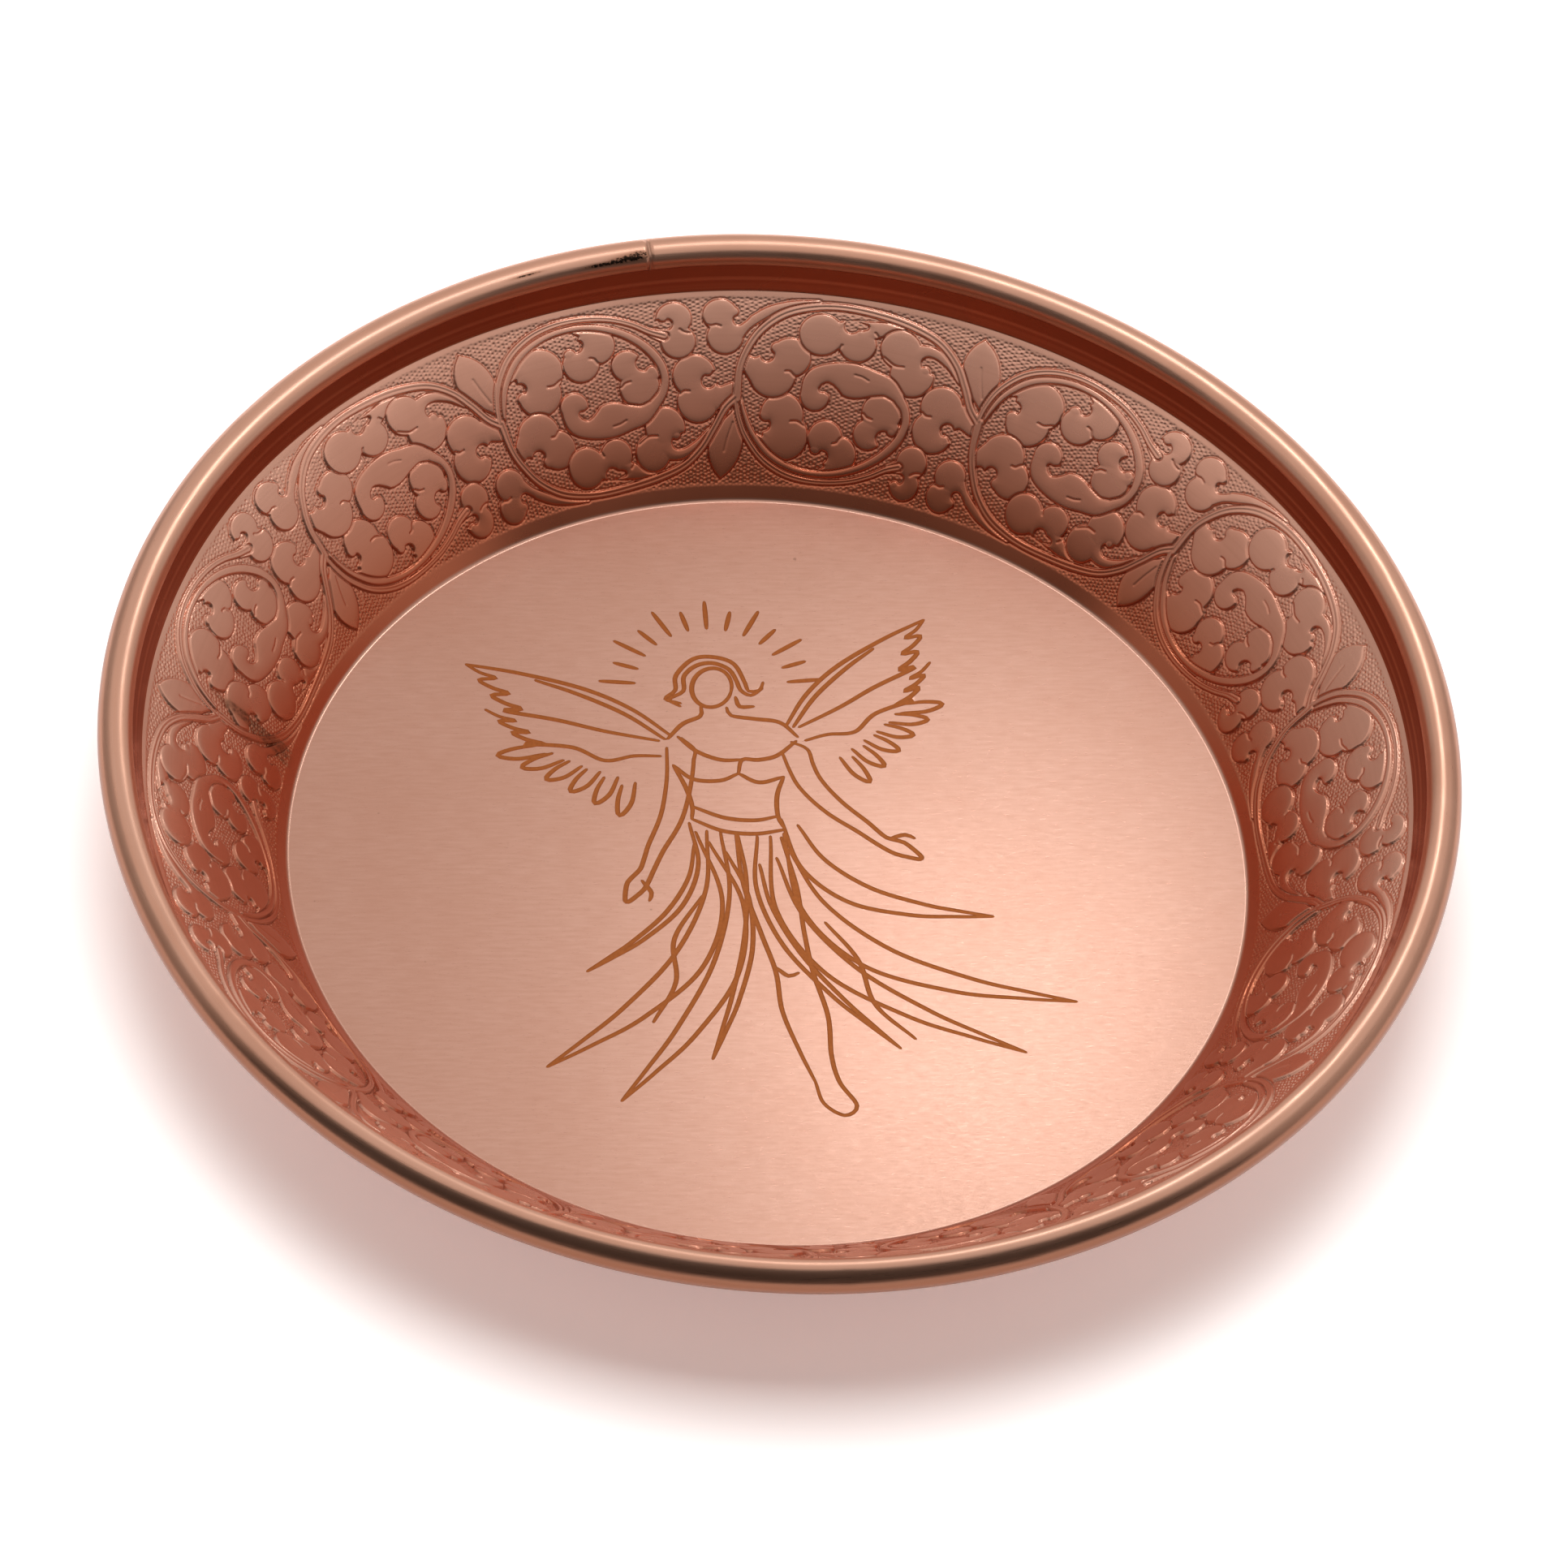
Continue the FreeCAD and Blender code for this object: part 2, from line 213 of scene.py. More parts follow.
# Each leaf: its round lobes, the neck that joins it to a stem, a pocket of ground, the tip that curls
# round the pocket, and the creases between the lobes.
LEAVES = [
    ([(12.9, 29.4, 4.3), (12.0, 25.5, 4.0)], [(6, 29.4, .5), (8.4, 31, 1.2), (11, 30.6, 2.4)],
     [(5.3, 23.8, .5), (6.1, 26.2, 1.2), (7.4, 27.4, 1.5), (8.6, 27.4, 1.45)], (8.9, 25.5, 1.0),
     [[(17.2, 27.3), (16.2, 27), (15, 26.4), (13.8, 26.5)]]),
    ([(24.1, 31.9, 3.3), (20.9, 29.1, 3.2)], [(20.6, 36, .5), (22.6, 35, 1.1), (23.6, 33.2, 2)],
     [(13.8, 34.2, .2), (16.4, 33.7, 1.0), (18.9, 33.3, 1.5), (20.7, 32.6, 1.4)], (19.2, 31.2, .9),
     [[(24.9, 28.2), (23.9, 28.7), (23.4, 29.6), (22.6, 29.9)]]),
    ([(29.2, 27.2, 2.7), (31.1, 22.8, 3.6)], [(34.6, 25.4, .6), (33, 24.4, 1.4)],
     [(33.2, 30.6, .4), (33, 29, 1.2), (32.4, 27.4, 1.75)], (33.7, 25.6, .8),
     [[(26.9, 23.4), (27.7, 23.4), (28.4, 24), (29.4, 24.2)]]),
    ([(9.8, 17.9, 4.1), (12.9, 14.5, 3.5)], [(4.8, 15, .6), (6.2, 16.6, 1.6), (8.4, 17.6, 3)],
     [(6.9, 11.6, .6), (7.8, 13, 1.2), (8.7, 14.2, 1.5)], (10.5, 12.8, .9),
     [[(14.6, 18), (13.8, 17.9), (13, 17.1), (12.2, 17.1)]]),
    ([(18.1, 9.7, 3.7), (24.6, 10.7, 3.1)], [(32, 6, .4), (27.6, 7.4, 1.3), (21.6, 9.4, 2.4)],
     [(25.6, 7.2, .8), (23.2, 7.4, 1.6)], (24.9, 8.9, .7),
     [[(21.8, 13.4), (21.5, 12.3), (21.9, 11.2)], [(27.4, 8), (28.2, 9), (28.2, 10.4)]]),
    ([(35.2, 14.6, 3.8), (32.3, 10.2, 3.4)],
     [(44.2, 13.4, .4), (41, 10.6, .6), (37.6, 9.4, .8), (34.4, 11, 2)],
     [(41.4, 14.4, .6), (39.8, 12.8, 1.2), (37.7, 11.7, 1.6)], (37.3, 13.2, .7),
     [[(29.6, 12.2), (30.6, 12.8), (31.8, 13.4), (33.4, 13.3)]]),
    ([(41.5, 24, 3.8), (42, 19.1, 3.8)], [(48.6, 21.6, .7), (46, 19.8, 1.8), (43, 20, 3)],
     [(47, 25.8, .5), (45.8, 24.2, 1.0), (44.2, 22.9, 1.6)], (44.1, 24.9, .7),
     [[(37.8, 21), (38.7, 20.8), (39.4, 21.3), (40.4, 21.2)]]),
    ([(38.5, 35, 2.9), (39, 30.6, 2.9)], [(34.6, 32.7, .6), (37, 32, 1.3)],
     [(34.4, 34.2, .6), (35.8, 34.2, 1.2), (37.2, 34.1, 1.25)], (36.6, 35.6, .7),
     [[(42, 32.4), (41, 32.2), (40, 32.5), (39.4, 33)]]),
    ([(46.6, 35.3, 2.8), (47.4, 31.1, 3.0)],
     [(48.4, 31.6, 2), (51.4, 33.6, .8), (55.3, 36.1, .7), (59.2, 37.4, .6), (63.3, 38, .4)],
     [(52.4, 36.6, .6), (51, 35.2, 1.1), (49.8, 34.3, 1.2)], (48.9, 35.9, .7),
     [[(43.9, 33.6), (44.9, 33.3), (45.8, 33.5), (46.6, 33.2)]]),
]


def leaf_distance(x, y, lobes, neck, pocket, tip):
    """Distance to a leaf's outline, negative inside."""
    edge = np.minimum.reduce([circle_distance(x, y, lobe) for lobe in lobes])
    edge = np.minimum(edge, curve_distance(x, y, neck)[0])
    edge = np.maximum(edge, -curve_distance(x, y, pocket)[0])
    return np.minimum(edge, circle_distance(x, y, tip)) - LEAF_SPREAD


def ease(t):
    """Rises smoothly from 0 to 1 as t does."""
    t = np.clip(t, 0, 1)
    return t * t * (3 - 2 * t)


class Relief:
    """The height of the pressed pattern over the plain wall, on a grid, built shape over shape."""

    def __init__(self, x, y):
        self.x = x
        self.y = y
        self.height = np.zeros(x.shape)
        self.groove = np.zeros(x.shape)
        self.cover = np.zeros(x.shape)

    def turned(self, copy):
        """The grid as seen from a glide copy of the shapes."""
        y = self.y if copy % 2 == 0 else MIRROR - self.y
        return self.x - copy * HALF, y

    def add(self, edge, top=LEAF_HEIGHT, dome=LEAF_DOME):
        """Lays a shape with rounded shoulders, and its carved outline, over what is there."""
        inside = ease(0.5 - edge / OUTLINE_BLUR)
        rise = top * ease(-edge / BEVEL) + dome * (1 - np.exp(np.minimum(edge, 0) / SHOULDER))
        self.height = self.height * (1 - inside) + rise * inside
        self.groove = self.groove * (1 - inside) + np.exp(-(edge / GROOVE_WIDTH) ** 2)
        self.cover = np.maximum(self.cover, inside)

    def score(self, middle, depth=0.6, width=0.18):
        """Carves a line without raising anything."""
        self.groove = np.maximum(self.groove, depth * np.exp(-(middle / width) ** 2))


def draw_pattern(x, y):
    """Relief of one repeat: every shape in each of the places that can reach the grid."""
    relief = Relief(x, y)
    places = [relief.turned(copy) for copy in range(-2, 4)]
    for *leaf, creases in LEAVES:
        for u, v in places:
            relief.add(leaf_distance(u, v, *leaf))
            for crease in creases:
                relief.score(curve_distance(u, v, crease)[1], 0.9)
    for u, v in places:
        eye = np.maximum(curve_distance(u, v, EYE)[0], -curve_distance(u, v, EYE_POCKET)[0])
        relief.add(np.minimum(curve_distance(u, v, SCROLL)[0], eye))
        relief.score(curve_distance(u, v, EYE_CREASE)[1], 0.5)
    for u, v in places:
        relief.add(curve_distance(u, v, BUD)[0])
        relief.score(curve_distance(u, v, BUD[1:4])[1], 0.4)
    stems = [curve_distance(u, v, path) for path in (ARCH, WAVE) for u, v in places]
    relief.add(np.minimum.reduce([edge for edge, middle in stems]), STEM_HEIGHT, STEM_DOME)
    relief.score(np.minimum.reduce([middle for edge, middle in stems]), 0.5)
    return relief


def stipple(x, y, rng):
    """Small punched dimples on a jittered grid that closes on itself after one repeat."""
    across = 2 * int(round(PERIOD_WIDTH / STIPPLE_PITCH / 2))
    pitch = PERIOD_WIDTH / across
    up = int(STIPPLE_REACH / pitch)
    offset_x = rng.uniform(-JITTER, JITTER, (across, up)) * pitch
    offset_y = rng.uniform(-JITTER, JITTER, (across, up)) * pitch
    strength = rng.uniform(0.55, 1.0, (across, up))
    column = np.floor(x / pitch).astype(int)
    row = np.floor(y / pitch).astype(int)
    depth = np.zeros(x.shape)
    for i in (-1, 0, 1):
        for j in (-1, 0, 1):
            a = (column + i) % across
            b = (row + j) % up
            centre_x = (column + i + 0.5) * pitch + offset_x[a, b]
            centre_y = (row + j + 0.5 * ((column + i) % 2) + 0.25) * pitch + offset_y[a, b]
            away = np.hypot(x - centre_x, y - centre_y)
            depth = np.maximum(depth, strength[a, b] * np.exp(-(away / (DIMPLE_SHARE * pitch)) ** 2))
    return depth


def wall_relief(rng):
    """Height, groove and soot maps of the whole wall, one row per height, one column per azimuth."""
    columns = FINE // PERIODS
    along = np.arange(columns) * PERIOD_WIDTH / columns
    up = np.linspace(WALL_LOW, WALL_HIGH, FINE_ROWS)
    x, y = np.meshgrid(along, up)
    relief = draw_pattern(x, y)
    band = ease((y - BAND_LOW) / 0.8) * ease((BAND_HIGH - y) / 0.8)
    ground = (1 - relief.cover) * band
    punched = stipple(x, y, rng) * ground
    fade = ease((y - RELIEF_LOW) / 1.2) * ease((RELIEF_HIGH - y) / 1.0)
    groove = np.clip(relief.groove, 0, 1.2) * fade
    height = relief.height * fade - GROOVE_DEPTH * groove
    height = height - STIPPLE_DEPTH * punched - GROUND_DROP * ground
    from_middle = np.abs(2 * (y - WALL_LOW) / (WALL_HIGH - WALL_LOW) - 1)
    height += BULGE * (1 - from_middle ** BULGE_POWER)
    azimuth = BUD_AZIMUTH - np.arange(FINE) * 360 / FINE
    aside = turn_between(azimuth, STREAK_AZIMUTH) * PERIOD_WIDTH * PERIODS / 360
    fade_up = ease((up - 1.5) / 3) * ease((STREAK_TOP - up) / 14)
    soot = np.zeros((FINE_ROWS, FINE))
    for shift, lean, wide, strength in STREAKS:
        off = aside[None] - shift - lean * up[:, None]
        soot += strength * np.exp(-(off / wide) ** 2) * fade_up[:, None]
    tiles = (1, PERIODS)
    return np.tile(height, tiles), np.tile(groove, tiles), np.clip(soot, 0, 1)


def turn_between(azimuth, other):
    """Signed degrees from one azimuth to another, the short way round."""
    return (azimuth - other + 180) % 360 - 180


# -------- the section's corner points

CORNER_CENTRE = np.array([FLAT_RADIUS, GAUGE + CORNER_BEND])
LIP_CENTRE = np.array([RING_RADIUS, RING_HEIGHT])
WALL_FOOT = CORNER_CENTRE + CORNER_BEND * direction(WALL_ANGLE - 90)
COLLAR_TOP = LIP_CENTRE + LIP_OUTER * direction(COLLAR_ANGLE + 90)


def crossing(point_a, angle_a, point_b, angle_b):
    """Where two lines, each given by a point and a direction, meet."""
    a, b = direction(angle_a), direction(angle_b)
    run = np.linalg.solve(np.array([a, -b]).T, point_b - point_a)[0]
    return point_a + run * a


CREASE = crossing(WALL_FOOT, WALL_ANGLE, COLLAR_TOP, COLLAR_ANGLE)
CREASE_RUN = CREASE_BEND * math.tan(math.radians((COLLAR_ANGLE - WALL_ANGLE) / 2))
WALL_TOP = CREASE - CREASE_RUN * direction(WALL_ANGLE)
CREASE_CENTRE = WALL_TOP + CREASE_BEND * direction(WALL_ANGLE + 90)
WALL_LOW = CORNER_BEND * math.tan(math.radians(WALL_ANGLE / 2))
WALL_HIGH = WALL_LOW + np.linalg.norm(WALL_TOP - WALL_FOOT)


def arc(centre, radius, first, last, count):
    """Points of an arc between two directions."""
    return [centre + radius * direction(a) for a in np.linspace(first, last, count)]


def straight(start, end, count):
    """Points of a straight run, without its two ends."""
    return [start + (end - start) * t for t in np.linspace(0, 1, count + 2)[1:-1]]


# -------- mesh building

def new_object(name, data):
    """An object in the scene that holds the mesh, light or camera given."""
    made = bpy.data.objects.new(name, data)
    bpy.context.scene.collection.objects.link(made)
    return made


class Skin:
    """Collects vertices and faces, as arrays, for one mesh."""

    def __init__(self):
        self.points = []
        self.count = 0
        self.faces = []  # (corner indices as an array of rows, material, smooth)
        self.marks = []  # of each vertex: groove, height up the wall, soot

    def add_points(self, points, marks=None):
        first = self.count
        self.points.append(np.asarray(points, float))
        self.marks.append(np.zeros((len(points), 3)) if marks is None else marks)
        self.count += len(points)
        return np.arange(first, self.count)

    def ring(self, radius, height, columns, marks=None):
        """A ring of vertices; radius and height may change round it."""
        azimuth = np.radians(BUD_AZIMUTH - np.arange(columns) * 360 / columns)
        points = np.column_stack([radius * np.cos(azimuth), radius * np.sin(azimuth),
                                  np.broadcast_to(height, columns)])
        return self.add_points(points, marks)

    def rings(self, section, columns, marks=None):
        return [self.ring(radius, height, columns, marks) for radius, height in section]

    def band(self, lower, upper, material=WALL_SLOT, smooth=True):
        """Faces between two rings. One may have a whole number of times the other's vertices."""
        if len(lower) > len(upper):
            self.fan(upper, lower, len(lower) // len(upper), material, smooth, flip=False)
        elif len(lower) < len(upper):
            self.fan(lower, upper, len(upper) // len(lower), material, smooth, flip=True)
        else:
            quads = np.column_stack([lower, np.roll(lower, -1), np.roll(upper, -1), upper])
            self.faces.append((quads, material, smooth))

    def fan(self, few, many, times, material, smooth, flip):
        """Triangles between a ring and one with so many times its vertices."""
        following = np.roll(few, -1)
        for k in range(times):
            owner = few if k < (times + 1) // 2 else following
            here = many[k::times]
            there = np.roll(many, -(k + 1))[::times]
            self.triangles(np.column_stack([owner, here, there]), material, smooth, flip)
        middle = np.roll(many, -((times + 1) // 2))[::times]
        self.triangles(np.column_stack([few, middle, following]), material, smooth, flip)

    def triangles(self, rows, material, smooth, flip=False):
        self.faces.append((rows[:, ::-1] if flip else rows, material, smooth))

    def build(self, name, materials):
        """Makes the mesh and its object, and gives back the object."""
        points = np.vstack(self.points) * MM
        loops = np.concatenate([rows.ravel() for rows, material, smooth in self.faces])
        sizes, kinds, soft = [], [], []
        for rows, material, smooth in self.faces:
            sizes.append(np.full(len(rows), rows.shape[1]))
            kinds.append(np.full(len(rows), material))
            soft.append(np.full(len(rows), smooth))
        sizes = np.concatenate(sizes)
        mesh = bpy.data.meshes.new(name)
        mesh.vertices.add(len(points))
        mesh.vertices.foreach_set("co", points.ravel())
        mesh.loops.add(len(loops))
        mesh.loops.foreach_set("vertex_index", loops)
        mesh.polygons.add(len(sizes))
        mesh.polygons.foreach_set("loop_start", np.concatenate([[0], np.cumsum(sizes)[:-1]]))
        mesh.polygons.foreach_set("material_index", np.concatenate(kinds))
        mesh.polygons.foreach_set("use_smooth", np.concatenate(soft))
        marks = np.vstack(self.marks)
        for k, label in enumerate(("groove", "climb", "soot")):
            layer = mesh.attributes.new(label, "FLOAT", "POINT")
            layer.data.foreach_set("value", marks[:, k])
        mesh.update(calc_edges=True)
        mesh.validate()
        for material in materials:
            mesh.materials.append(material)
        return new_object(name, mesh)


# -------- the engraved figure

LINE = 0.98  # width of the engraved line
ENGRAVED_DEPTH = 0.06
ENGRAVED_FLOOR = 0.6  # share of the line's width that is flat at the bottom
HEAD = (-14.2, 41.2)
WAIST = np.array([-5.0, 13.0])
HALO_RAYS = 13
HALO_START = 14.4
HALO_REACH = (21.0, 19.0)  # of the long and the short rays


def ellipse(wide, high, tilt=0.0, count=30):
    """A closed ellipse about the origin, as points; the tilt is in degrees."""
    turn = math.radians(tilt)
    angles = np.linspace(0, 2 * math.pi, count)
    across = wide * np.cos(angles)
    upward = high * np.sin(angles)
    return list(zip(across * math.cos(turn) - upward * math.sin(turn),
                    across * math.sin(turn) + upward * math.cos(turn)))


def placed(origin, shapes):
    """The shapes moved from the origin to another place."""
    x, y = origin
    return [[(x + dx, y + dy) for dx, dy in shape] for shape in shapes]


def halo():
    """Short rays about the head, long and short by turns."""
    rays = []
    for k, angle in enumerate(np.linspace(184, 14, HALO_RAYS)):
        rays.append([HALO_START * direction(angle), HALO_REACH[k % 2] * direction(angle)])
    return placed(HEAD, rays)


def head():
    """A blank oval with a short wavy bob swept to both sides, and the neck."""
    lines = []
    for lift in (0.0, 1.5):
        left = [(-5.4, -5.4 + lift / 2), (-7.6 - lift / 2, -4), (-5.2 - lift, -1.6), (-5.4 - lift, 2),
                (-3.4 - lift / 2, 4.9 + lift)]
        right = [(-0.4, 6 + lift), (2.8 + lift / 2, 4.9 + lift), (4.6 + lift, 2), (5.4 + lift, 0.2),
                 (7.4 + lift, -0.8 + lift), (9.4, 1.2 + lift)]
        lines.append(left + right)
    return placed(HEAD, [ellipse(3.7, 4.8, -6)] + lines + [
        [(4.6, -1.6), (5.6, -3.8), (8.2, -3.4)],
        [(-1.6, -4.8), (-1.5, -7.2), (-4.6, -9.6), (-7, -13.6)],
        [(3.2, -4.4), (4.2, -6.2), (8.6, -6.4), (13.4, -6.6), (17, -9.6)],
    ])


def bodice():
    """A plain top, gathered under the bust, and a sash round the hips."""
    return placed(WAIST, [
        [(-14.4, 15.4), (-10.6, 12.4), (-6, 11), (-2, 11.6)],
        [(7.6, 17.6), (4.4, 13.6), (1, 12), (-2, 11.6), (-2.4, 8.2)],
        [(-14.6, 8.4), (-10.6, 5.6), (-5.6, 6), (-2.4, 8.2)],
        [(-2.4, 8.2), (1.6, 6.6), (6, 8.6)],
        [(-14.6, 8.4), (-11.8, 3.4), (-10.2, -1), (-10, -4)],
        [(6, 8.6), (5.2, 4), (5.8, -1), (7.4, -4)],
        [(-10.2, -1), (-4, -2.8), (1.6, -2.6), (5.8, -1)],
        [(-10, -4), (-4, -6), (2, -5.8), (7.4, -4)],
    ])


def limb(middle):
    """The outline of a tapering limb, from rows of x, y and half width."""
    return side_points(smooth_curve(middle, 2.5), 1.0)


def arms():
    """Two bare arms held away from the body, and their thumbs."""
    left = limb([(-18.6, 25.6, 2.6), (-18.2, 18, 2.3), (-18.8, 9, 2.0), (-21, 1, 1.5),
                 (-22.2, -4.6, 1.2), (-23.8, -8.4, 1.7), (-25, -12, .5)])
    right = limb([(2.6, 28, 2.4), (5.6, 21.4, 2.3), (10.6, 16, 2.0), (16.8, 11.6, 1.5),
                  (20.6, 8.8, 1.2), (24, 7.6, 1.6), (27.6, 6, .5)])
    thumbs = [[(-22.8, -7), (-20.8, -9.6), (-21, -11.6)], [(22, 9.8), (24.6, 11), (26.4, 10.4)]]
    return [left, right] + thumbs


def scallops(first, last, count, depth):
    """A wavy edge of feather tips from one point to another, notched between the tips."""
    first, last = np.array(first), np.array(last)
    points = []
    for k in range(count):
        for share, notch in ((0, (0, 0)), (0.3, (depth * 0.5, 0)), (0.62, (depth, depth * 0.2))):
            points.append(first + (last - first) * (k + share) / (count - 1) - np.array(notch))
    return points[:-2]


def wing(root, tip, side):
    """One wing: a leading edge, two scalloped rows of long feathers and a row of short ones."""
    root = np.array(root)
    reach = np.array(tip) - root
    across = side * np.array([-reach[1], reach[0]])

    def lay(points):
        return [tuple(root + a * reach + b * across) for a, b in points]

    lines = [
        lay([(0, 0), (.22, -.07), (.46, -.09), (.75, -.055), (1, 0)]),
        lay([(.02, .03), (.24, -.03), (.48, -.05), (.68, -.045)]),
        lay(scallops((1, 0), (.74, .18), 4, .10) + [(.5, .13), (.28, .10), (.04, .05)]),
        lay(scallops((.82, .21), (.58, .32), 4, .10) + [(.38, .25), (.22, .26), (.11, .18), (0, .13)]),
    ]
    for k in range(6):
        share = k / 5
        start = (.50 - .42 * share, .31 + .02 * share)
        end = (.66 - .62 * share, .43 + .09 * share)
        lines.append(lay(feather(start, end, 0.035)))
    return lines


def feather(start, end, width):
    """A narrow loop from a wing's edge round the feather's tip and back."""
    start, end = np.array(start), np.array(end)
    reach = end - start
    side = np.array([-reach[1], reach[0]]) / np.linalg.norm(reach) * width
    return [start + side, start + reach * .6 + side * 1.1, end + side * .3, end - side * .3,
            start + reach * .6 - side * .7, start + reach * .15 - side * .6]


# Streamers of the robe: where the two edges start, relative to the waist, then the direction and the
# length from the waist to the end, and how far the edges bow.
STREAMERS = [
    ((-10.4, -5), (-9, -10), -121, 50, 8.0),
    ((-9, -7), (-7, -6.4), -115, 73, 15.0),
    ((-6.4, -9), (-4.4, -6.6), -103, 74, 13.0),
    ((-3, -11), (-1.2, -6.6), -91, 60, 6.0),
    ((2.4, -6.4), (3.4, -13), -58, 62, -8.0),
    ((4.8, -6), (6.4, -11), -42, 75, -15.0),
    ((7.2, -5), (8.4, -8.6), -30, 74, -17.0),
    ((6.4, -1.6), (9.6, -2.6), -22, 51, -11.0),
]


def streamer(edge_a, edge_b, heading, reach, bow):
    """The two edges of one streamer, which bow aside and meet at its end."""
    end = WAIST + reach * direction(heading)
    lines = []
    for edge, weight in ((edge_a, 1.0), (edge_b, 0.55)):
        start = WAIST + np.array(edge)
        along = end - start
        side = np.array([-along[1], along[0]]) / np.linalg.norm(along) * bow * weight
        line = [start]
        for share in (.2, .45, .7, .87):
            line.append(start + along * share + side * math.sin(math.pi * share ** 0.8))
        lines.append(line + [end])
    return lines


def legs():
    """One leg that shows through the robe, down to a pointed foot, and two folds beside it."""
    return placed(WAIST, [
        [(-1.6, -6.4), (0.8, -18), (5, -29), (8.6, -38), (10.6, -47), (14.6, -56), (18, -62.6)],
        [(6.8, -6), (10.6, -17), (13, -28), (15.4, -37), (19, -47), (20.4, -56), (22.4, -62), (26, -67),
         (24, -69.6), (20, -67.4), (18, -62.6)],
        [(8.6, -37), (11, -38.6), (12.8, -37.6)],
        [(-6.4, -22), (-10.6, -33), (-9.4, -43), (-12.6, -53)],
        [(16.6, -25), (23.4, -33), (27.4, -43), (35.4, -50)],
    ])


def figure():
    """Every engraved line of the faceless winged figure, as lists of points."""
    lines = halo() + head() + bodice() + arms() + legs()
    lines += wing((-20.6, 28.4), (-60.2, 40.1), 1) + wing((0.4, 34.0), (23.8, 63.6), -1)
    for shape in STREAMERS:
        lines += streamer(*shape)
    return lines


def swell(count, thin=0.6):
    """Relative widths along a stroke: full in the middle and thinner at both ends."""
    t = np.linspace(0, 1, count)
    return thin + (1 - thin) * np.sin(np.pi * t) ** 0.5


def figure_strokes():
    """Every engraved line as rows of x, y and half width."""
    strokes = []
    for line in figure():
        middle = smooth_curve(line, 0.7)
        strokes.append(np.column_stack([middle, LINE / 2 * swell(len(middle))]))
    return strokes


def side_points(stroke, share):
    """The closed outline round a share of a stroke's width."""
    tangent = np.gradient(stroke[:, :2], axis=0)
    tangent /= np.maximum(np.linalg.norm(tangent, axis=1), 1e-9)[:, None]
    side = np.column_stack([-tangent[:, 1], tangent[:, 0]]) * stroke[:, 2:] * share
    left = stroke[:, :2] + side
    right = stroke[:, :2] - side
    start = stroke[:1, :2] - tangent[:1] * stroke[0, 2] * share
    end = stroke[-1:, :2] + tangent[-1:] * stroke[-1, 2] * share
    return np.vstack([start, left, end, right[::-1]])


def engraved_depth(points, strokes):
    """How deep the engraving is at each point: short slopes down to a flat bottom."""
    depth = np.zeros(len(points))
    for stroke in strokes:
        low = stroke[:, :2].min(0) - LINE
        high = stroke[:, :2].max(0) + LINE
        near = np.flatnonzero(np.all((points > low) & (points < high), axis=1))
        x, y = points[near].T
        inward = np.full(len(near), -1.0)
        for away, radius in segment_distances(x, y, stroke):
            inward = np.maximum(inward, 1 - away / radius)
        depth[near] = np.maximum(depth[near], inward / (1 - ENGRAVED_FLOOR))
    return np.clip(depth, 0, 1) * ENGRAVED_DEPTH


def make_floor(skin, rim_ring):
    """The floor's upper face inside a ring of vertices, with the figure cut into it."""
    strokes = figure_strokes()
    rim = np.vstack(skin.points)[rim_ring][:, :2]
    points = [rim]
    edges = [(i, (i + 1) % len(rim)) for i in range(len(rim))]
    count = len(rim)
    for stroke in strokes:
        for share in (1.0, ENGRAVED_FLOOR):
            outline = side_points(stroke, share)
            edges += [(count + i, count + (i + 1) % len(outline)) for i in range(len(outline))]
            count += len(outline)
            points.append(outline)
    flat = [Vector(point) for point in np.vstack(points)]
    made, _, triangles, origin, _, _ = delaunay_2d_cdt(flat, edges, [], 0, 1e-5, True)
    made = np.array([tuple(point) for point in made])
    triangles = np.array([tuple(corners) for corners in triangles])
    depth = engraved_depth(made, strokes)
    index = np.full(len(made), -1)
    for i, sources in enumerate(origin):
        on_rim = [k for k in sources if k < len(rim)]
        if on_rim:
            index[i] = rim_ring[on_rim[0]]
    inner = np.flatnonzero(index < 0)
    index[inner] = skin.add_points(np.column_stack([made[inner], GAUGE - depth[inner]]))
    centre = made[triangles].mean(axis=1)
    cut = engraved_depth(centre, strokes) > 1e-4
    a, b, c = made[triangles[:, 0]], made[triangles[:, 1]], made[triangles[:, 2]]
    area = (b[:, 0] - a[:, 0]) * (c[:, 1] - a[:, 1]) - (b[:, 1] - a[:, 1]) * (c[:, 0] - a[:, 0])
    triangles[area < 0] = triangles[area < 0][:, ::-1]
    rows = index[triangles]
    skin.triangles(rows[~cut], FLOOR_SLOT, False)
    skin.triangles(rows[cut], LINE_SLOT, False)


def pushed_ring(skin, base, push, columns, marks):
    """A ring of the wall, pushed out from the plain cone along the wall's normal."""
    normal = direction(WALL_ANGLE + 90)
    return skin.ring(base[0] + normal[0] * push, base[1] + normal[1] * push, columns, marks)


def lip_section():
    """The smooth part of the section: the crease, the collar, round the lip and down its back."""
    points = arc(CREASE_CENTRE, CREASE_BEND, WALL_ANGLE - 90, COLLAR_ANGLE - 90, 4)[1:]
    points += straight(points[-1], COLLAR_TOP, 10)
    points += arc(LIP_CENTRE, LIP_OUTER, COLLAR_ANGLE + 90, LIP_END, 44)
    points += arc(LIP_CENTRE, LIP_INNER, LIP_END, COLLAR_ANGLE + 90, 30)
    collar_back = COLLAR_TOP - GAUGE * direction(COLLAR_ANGLE + 90)
    collar_foot = CREASE_CENTRE + (CREASE_BEND + GAUGE) * direction(COLLAR_ANGLE - 90)
    points += straight(collar_back, collar_foot, 8)
    return points + arc(CREASE_CENTRE, CREASE_BEND + GAUGE, COLLAR_ANGLE - 90, WALL_ANGLE - 90, 4)


